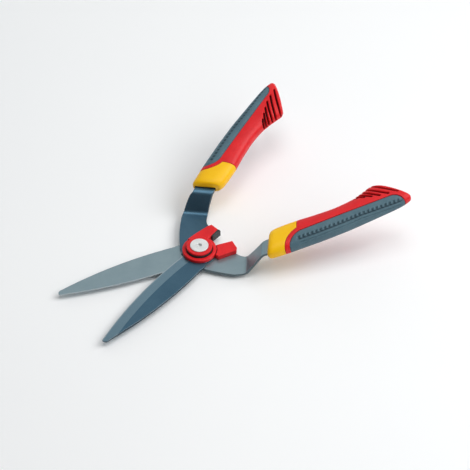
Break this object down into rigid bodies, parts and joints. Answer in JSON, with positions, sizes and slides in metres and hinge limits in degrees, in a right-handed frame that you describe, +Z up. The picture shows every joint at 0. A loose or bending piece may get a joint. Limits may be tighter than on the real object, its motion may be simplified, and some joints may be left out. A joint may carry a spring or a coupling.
{
  "type": "grass shears",
  "caption": "Two-handed grass shears with crossed cranked blades, an adjustable pivot, a cushioned stop and flared soft-grip handles.",
  "frame": {"origin": "centre of the pivot nut's flat underside, on the blades' pivot axis", "axes": "+Z up the pivot axis; +X from the pivot along the centre line between the two handles, so the blades point to -X; +Y on the side of the lower blade's tip and the upper half's handle"},
  "size_m": [0.3625, 0.248, 0.0748],
  "materials": {
    "blade_slate": "satin dark slate blue non-stick coating on steel",
    "blade_grey": "satin grey non-stick coating on steel",
    "red_plastic": "fine satin moulded plastic, red",
    "yellow_plastic": "satin moulded plastic, warm yellow",
    "soft_grip": "matt soft-touch elastomer, slate grey",
    "bright_zinc": "bright zinc plated, turned",
    "zinc_steel": "zinc plated steel",
    "spring_steel": "plain spring steel",
    "bronze": "sintered bronze",
    "black_rubber": "matt black rubber"
  },
  "bodies": {
    "lower_half": {"lower_blade": "blade_grey", "right_collar": "yellow_plastic", "right_handle_core": "red_plastic", "right_soft_grip": "soft_grip", "right_tang_rivets": "zinc_steel", "stop_block": "red_plastic", "block_screws": "zinc_steel", "pivot_nut": "zinc_steel"},
    "upper_half": {"upper_blade": "blade_slate", "left_collar": "yellow_plastic", "left_handle_core": "red_plastic", "left_soft_grip": "soft_grip", "left_tang_rivets": "zinc_steel", "pivot_bushing": "bronze", "spring_washer": "spring_steel", "seal_ring": "black_rubber", "bumper_arm": "red_plastic", "arm_screws": "zinc_steel", "bumper_pad": "black_rubber"},
    "adjuster": {"pivot_screw": "bright_zinc", "thumb_wheel": "red_plastic", "thrust_washer": "spring_steel"}
  },
  "joints": [
    {"name": "blade_pivot", "type": "hinge", "parent": "lower_half", "child": "upper_half", "pos_m": [0, 0, 0.007], "axis": [0, 0, 1], "range_deg": [-28.6, 34]},
    {"name": "tension_adjuster", "type": "hinge", "parent": "lower_half", "child": "adjuster", "pos_m": [0, 0, 0.018], "axis": [0, 0, 1], "range_deg": [-60, 60]}
  ]
}
